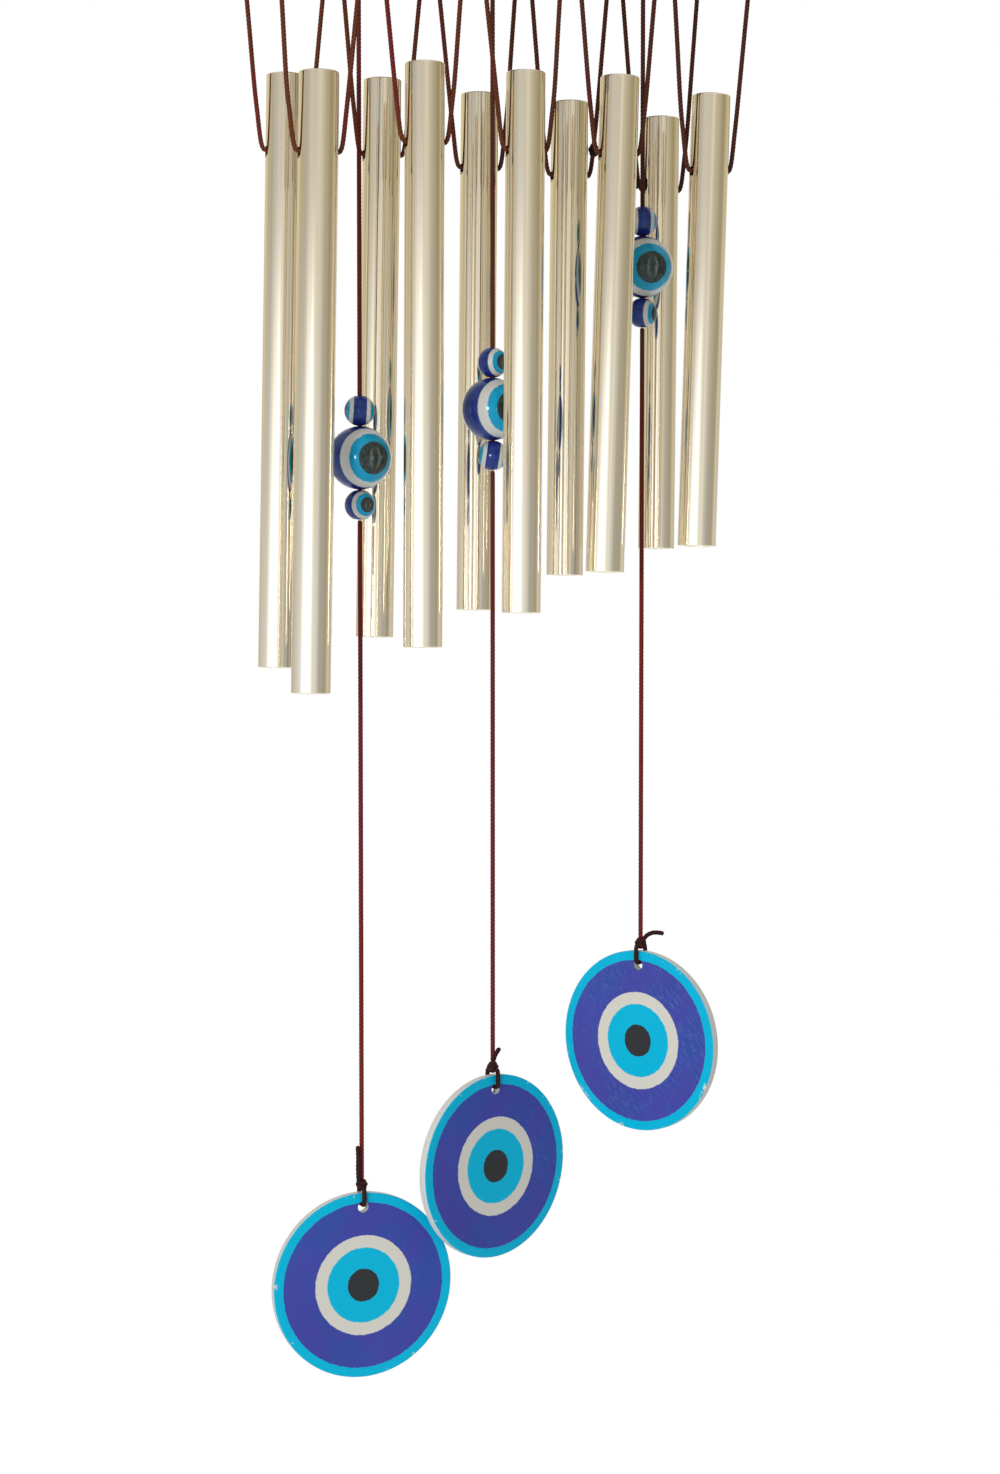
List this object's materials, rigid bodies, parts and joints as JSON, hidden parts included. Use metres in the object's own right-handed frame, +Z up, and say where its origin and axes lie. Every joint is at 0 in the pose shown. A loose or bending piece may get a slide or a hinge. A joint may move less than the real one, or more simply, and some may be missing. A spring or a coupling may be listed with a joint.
{
  "type": "wind chime",
  "caption": "Hanging wind chime: two rows of graded metal tubes on cord loops under a board, with evil-eye beads and printed discs on pendant cords between the rows.",
  "frame": {"origin": "centre of the hanging ring", "axes": "+X along the rows of tubes from the longest pair to the shortest, +Y from the front row to the back row, +Z up"},
  "size_m": [0.172, 0.066, 0.5626],
  "materials": {
    "tube_metal": "polished, pale champagne",
    "ring_steel": "bright",
    "board_wood": "plain, clear coat",
    "bead_blue": "glossy, eye on two opposite sides",
    "disc_sheet": "printed rings on a white sheet",
    "cord": "braided, dark maroon brown"
  },
  "bodies": {
    "ring": {"hang_ring": "ring_steel"},
    "carrier": {"board": "board_wood", "hanger_left": "cord", "hanger_right": "cord", "turn_back_1": "cord", "turn_back_2": "cord", "turn_back_3": "cord", "turn_back_4": "cord", "turn_back_5": "cord", "turn_front_1": "cord", "turn_front_2": "cord", "turn_front_3": "cord", "turn_front_4": "cord", "turn_front_5": "cord", "pendant_knot_1": "cord", "pendant_knot_2": "cord", "pendant_knot_3": "cord"},
    "loop_back_1": {"loop_back_1": "cord"},
    "tube_back_1": {"tube_back_1": "tube_metal"},
    "loop_back_2": {"loop_back_2": "cord"},
    "tube_back_2": {"tube_back_2": "tube_metal"},
    "loop_back_3": {"loop_back_3": "cord"},
    "tube_back_3": {"tube_back_3": "tube_metal"},
    "loop_back_4": {"loop_back_4": "cord"},
    "tube_back_4": {"tube_back_4": "tube_metal"},
    "loop_back_5": {"loop_back_5": "cord"},
    "tube_back_5": {"tube_back_5": "tube_metal"},
    "loop_front_1": {"loop_front_1": "cord"},
    "tube_front_1": {"tube_front_1": "tube_metal"},
    "loop_front_2": {"loop_front_2": "cord"},
    "tube_front_2": {"tube_front_2": "tube_metal"},
    "loop_front_3": {"loop_front_3": "cord"},
    "tube_front_3": {"tube_front_3": "tube_metal"},
    "loop_front_4": {"loop_front_4": "cord"},
    "tube_front_4": {"tube_front_4": "tube_metal"},
    "loop_front_5": {"loop_front_5": "cord"},
    "tube_front_5": {"tube_front_5": "tube_metal"},
    "pendant_1": {"pendant_cord_1_upper": "cord"},
    "bead_1_top": {"bead_1_top": "bead_blue"},
    "bead_1_big": {"bead_1_big": "bead_blue"},
    "bead_1_low": {"bead_1_low": "bead_blue"},
    "sail_1": {"pendant_cord_1_lower": "cord"},
    "tie_1": {"disc_tie_1": "cord"},
    "disc_1": {"disc_1": "disc_sheet"},
    "pendant_2": {"pendant_cord_2_upper": "cord"},
    "bead_2_top": {"bead_2_top": "bead_blue"},
    "bead_2_big": {"bead_2_big": "bead_blue"},
    "bead_2_low": {"bead_2_low": "bead_blue"},
    "sail_2": {"pendant_cord_2_lower": "cord"},
    "tie_2": {"disc_tie_2": "cord"},
    "disc_2": {"disc_2": "disc_sheet"},
    "pendant_3": {"pendant_cord_3_upper": "cord"},
    "bead_3_top": {"bead_3_top": "bead_blue"},
    "bead_3_big": {"bead_3_big": "bead_blue"},
    "bead_3_low": {"bead_3_low": "bead_blue"},
    "sail_3": {"pendant_cord_3_lower": "cord"},
    "tie_3": {"disc_tie_3": "cord"},
    "disc_3": {"disc_3": "disc_sheet"}
  },
  "joints": [
    {"name": "chime_swing", "type": "hinge", "parent": "ring", "child": "carrier", "pos_m": [0, 0, -0.01075], "axis": [1, 0, 0], "range_deg": [-25, 25]},
    {"name": "loop_back_1_swing", "type": "hinge", "parent": "carrier", "child": "loop_back_1", "pos_m": [-0.0598, 0.0211, -0.10875], "axis": [1, 0, 0], "range_deg": [-4, 25]},
    {"name": "tube_back_1_rock", "type": "hinge", "parent": "loop_back_1", "child": "tube_back_1", "pos_m": [-0.0601, 0.0211, -0.16965], "axis": [1, 0, 0], "range_deg": [-4, 20]},
    {"name": "loop_back_2_swing", "type": "hinge", "parent": "carrier", "child": "loop_back_2", "pos_m": [-0.0284, 0.0211, -0.10875], "axis": [1, 0, 0], "range_deg": [-2, 25]},
    {"name": "tube_back_2_rock", "type": "hinge", "parent": "loop_back_2", "child": "tube_back_2", "pos_m": [-0.0287, 0.0211, -0.16925], "axis": [1, 0, 0], "range_deg": [-3, 20]},
    {"name": "loop_back_3_swing", "type": "hinge", "parent": "carrier", "child": "loop_back_3", "pos_m": [0.003, 0.0211, -0.10875], "axis": [1, 0, 0], "range_deg": [-1, 25]},
    {"name": "tube_back_3_rock", "type": "hinge", "parent": "loop_back_3", "child": "tube_back_3", "pos_m": [0.0037, 0.0211, -0.17175], "axis": [1, 0, 0], "range_deg": [-1.8, 20]},
    {"name": "loop_back_4_swing", "type": "hinge", "parent": "carrier", "child": "loop_back_4", "pos_m": [0.0344, 0.0211, -0.10875], "axis": [1, 0, 0], "range_deg": [-5, 25]},
    {"name": "tube_back_4_rock", "type": "hinge", "parent": "loop_back_4", "child": "tube_back_4", "pos_m": [0.0343, 0.0211, -0.17255], "axis": [1, 0, 0], "range_deg": [-5, 20]},
    {"name": "loop_back_5_swing", "type": "hinge", "parent": "carrier", "child": "loop_back_5", "pos_m": [0.0658, 0.0211, -0.10875], "axis": [1, 0, 0], "range_deg": [-4, 25]},
    {"name": "tube_back_5_rock", "type": "hinge", "parent": "loop_back_5", "child": "tube_back_5", "pos_m": [0.066, 0.0211, -0.17575], "axis": [1, 0, 0], "range_deg": [-6, 20]},
    {"name": "loop_front_1_swing", "type": "hinge", "parent": "carrier", "child": "loop_front_1", "pos_m": [-0.0598, -0.0211, -0.10875], "axis": [1, 0, 0], "range_deg": [-25, 4]},
    {"name": "tube_front_1_rock", "type": "hinge", "parent": "loop_front_1", "child": "tube_front_1", "pos_m": [-0.061, -0.0211, -0.17635], "axis": [1, 0, 0], "range_deg": [-20, 4]},
    {"name": "loop_front_2_swing", "type": "hinge", "parent": "carrier", "child": "loop_front_2", "pos_m": [-0.0284, -0.0211, -0.10875], "axis": [1, 0, 0], "range_deg": [-25, 2.5]},
    {"name": "tube_front_2_rock", "type": "hinge", "parent": "loop_front_2", "child": "tube_front_2", "pos_m": [-0.0279, -0.0211, -0.17175], "axis": [1, 0, 0], "range_deg": [-20, 4]},
    {"name": "loop_front_3_swing", "type": "hinge", "parent": "carrier", "child": "loop_front_3", "pos_m": [0.003, -0.0211, -0.10875], "axis": [1, 0, 0], "range_deg": [-25, 1]},
    {"name": "tube_front_3_rock", "type": "hinge", "parent": "loop_front_3", "child": "tube_front_3", "pos_m": [0.0042, -0.0211, -0.17245], "axis": [1, 0, 0], "range_deg": [-20, 1.8]},
    {"name": "loop_front_4_swing", "type": "hinge", "parent": "carrier", "child": "loop_front_4", "pos_m": [0.0344, -0.0211, -0.10875], "axis": [1, 0, 0], "range_deg": [-25, 5]},
    {"name": "tube_front_4_rock", "type": "hinge", "parent": "loop_front_4", "child": "tube_front_4", "pos_m": [0.0344, -0.0211, -0.17195], "axis": [1, 0, 0], "range_deg": [-20, 5]},
    {"name": "loop_front_5_swing", "type": "hinge", "parent": "carrier", "child": "loop_front_5", "pos_m": [0.0658, -0.0211, -0.10875], "axis": [1, 0, 0], "range_deg": [-25, 4]},
    {"name": "tube_front_5_rock", "type": "hinge", "parent": "loop_front_5", "child": "tube_front_5", "pos_m": [0.0649, -0.0211, -0.17575], "axis": [1, 0, 0], "range_deg": [-20, 6]},
    {"name": "pendant_1_swing", "type": "hinge", "parent": "carrier", "child": "pendant_1", "pos_m": [-0.0422, 0, -0.10875], "axis": [1, 0, 0], "range_deg": [-0.4, 3.5]},
    {"name": "bead_1_top_spin", "type": "hinge", "parent": "pendant_1", "child": "bead_1_top", "pos_m": [-0.0422, 0, -0.2503], "axis": [0, 0, 1], "continuous": true},
    {"name": "bead_1_big_spin", "type": "hinge", "parent": "pendant_1", "child": "bead_1_big", "pos_m": [-0.0422, 0, -0.26475], "axis": [0, 0, 1], "continuous": true},
    {"name": "bead_1_low_spin", "type": "hinge", "parent": "pendant_1", "child": "bead_1_low", "pos_m": [-0.0422, 0, -0.2792], "axis": [0, 0, 1], "continuous": true},
    {"name": "sail_1_swing", "type": "hinge", "parent": "pendant_1", "child": "sail_1", "pos_m": [-0.0422, 0, -0.28371], "axis": [1, 0, 0], "range_deg": [-0.8, 15]},
    {"name": "disc_1_turn", "type": "hinge", "parent": "sail_1", "child": "tie_1", "pos_m": [-0.0422, 0, -0.49025], "axis": [0, 0, 1], "range_deg": [-8, 140]},
    {"name": "disc_1_swing", "type": "hinge", "parent": "tie_1", "child": "disc_1", "pos_m": [-0.0422, 0, -0.49635], "axis": [0.0349, -0.9994, 0], "range_deg": [-20, 20]},
    {"name": "pendant_2_swing", "type": "hinge", "parent": "carrier", "child": "pendant_2", "pos_m": [0.001, 0, -0.10875], "axis": [1, 0, 0], "range_deg": [-2, 0.4]},
    {"name": "bead_2_top_spin", "type": "hinge", "parent": "pendant_2", "child": "bead_2_top", "pos_m": [0.001, 0, -0.2344], "axis": [0, 0, 1], "continuous": true},
    {"name": "bead_2_big_spin", "type": "hinge", "parent": "pendant_2", "child": "bead_2_big", "pos_m": [0.001, 0, -0.24885], "axis": [0, 0, 1], "continuous": true},
    {"name": "bead_2_low_spin", "type": "hinge", "parent": "pendant_2", "child": "bead_2_low", "pos_m": [0.001, 0, -0.2633], "axis": [0, 0, 1], "continuous": true},
    {"name": "sail_2_swing", "type": "hinge", "parent": "pendant_2", "child": "sail_2", "pos_m": [0.001, 0, -0.26781], "axis": [1, 0, 0], "range_deg": [-15, 0.8]},
    {"name": "disc_2_turn", "type": "hinge", "parent": "sail_2", "child": "tie_2", "pos_m": [0.001, 0, -0.45585], "axis": [0, 0, 1], "range_deg": [-12, 135]},
    {"name": "disc_2_swing", "type": "hinge", "parent": "tie_2", "child": "disc_2", "pos_m": [0.001, 0, -0.46195], "axis": [0.3746, -0.9272, 0], "range_deg": [-20, 20]},
    {"name": "pendant_3_swing", "type": "hinge", "parent": "carrier", "child": "pendant_3", "pos_m": [0.0513, 0, -0.10875], "axis": [1, 0, 0], "range_deg": [-7, 8.8]},
    {"name": "bead_3_top_spin", "type": "hinge", "parent": "pendant_3", "child": "bead_3_top", "pos_m": [0.0513, 0, -0.1884], "axis": [0, 0, 1], "continuous": true},
    {"name": "bead_3_big_spin", "type": "hinge", "parent": "pendant_3", "child": "bead_3_big", "pos_m": [0.0513, 0, -0.20285], "axis": [0, 0, 1], "continuous": true},
    {"name": "bead_3_low_spin", "type": "hinge", "parent": "pendant_3", "child": "bead_3_low", "pos_m": [0.0513, 0, -0.2173], "axis": [0, 0, 1], "continuous": true},
    {"name": "sail_3_swing", "type": "hinge", "parent": "pendant_3", "child": "sail_3", "pos_m": [0.0513, 0, -0.22181], "axis": [1, 0, 0], "range_deg": [-15, 15]},
    {"name": "disc_3_turn", "type": "hinge", "parent": "sail_3", "child": "tie_3", "pos_m": [0.0513, 0, -0.41855], "axis": [0, 0, 1], "continuous": true},
    {"name": "disc_3_swing", "type": "hinge", "parent": "tie_3", "child": "disc_3", "pos_m": [0.0513, 0, -0.42465], "axis": [-0.8387, -0.5446, 0], "range_deg": [-20, 20]}
  ]
}
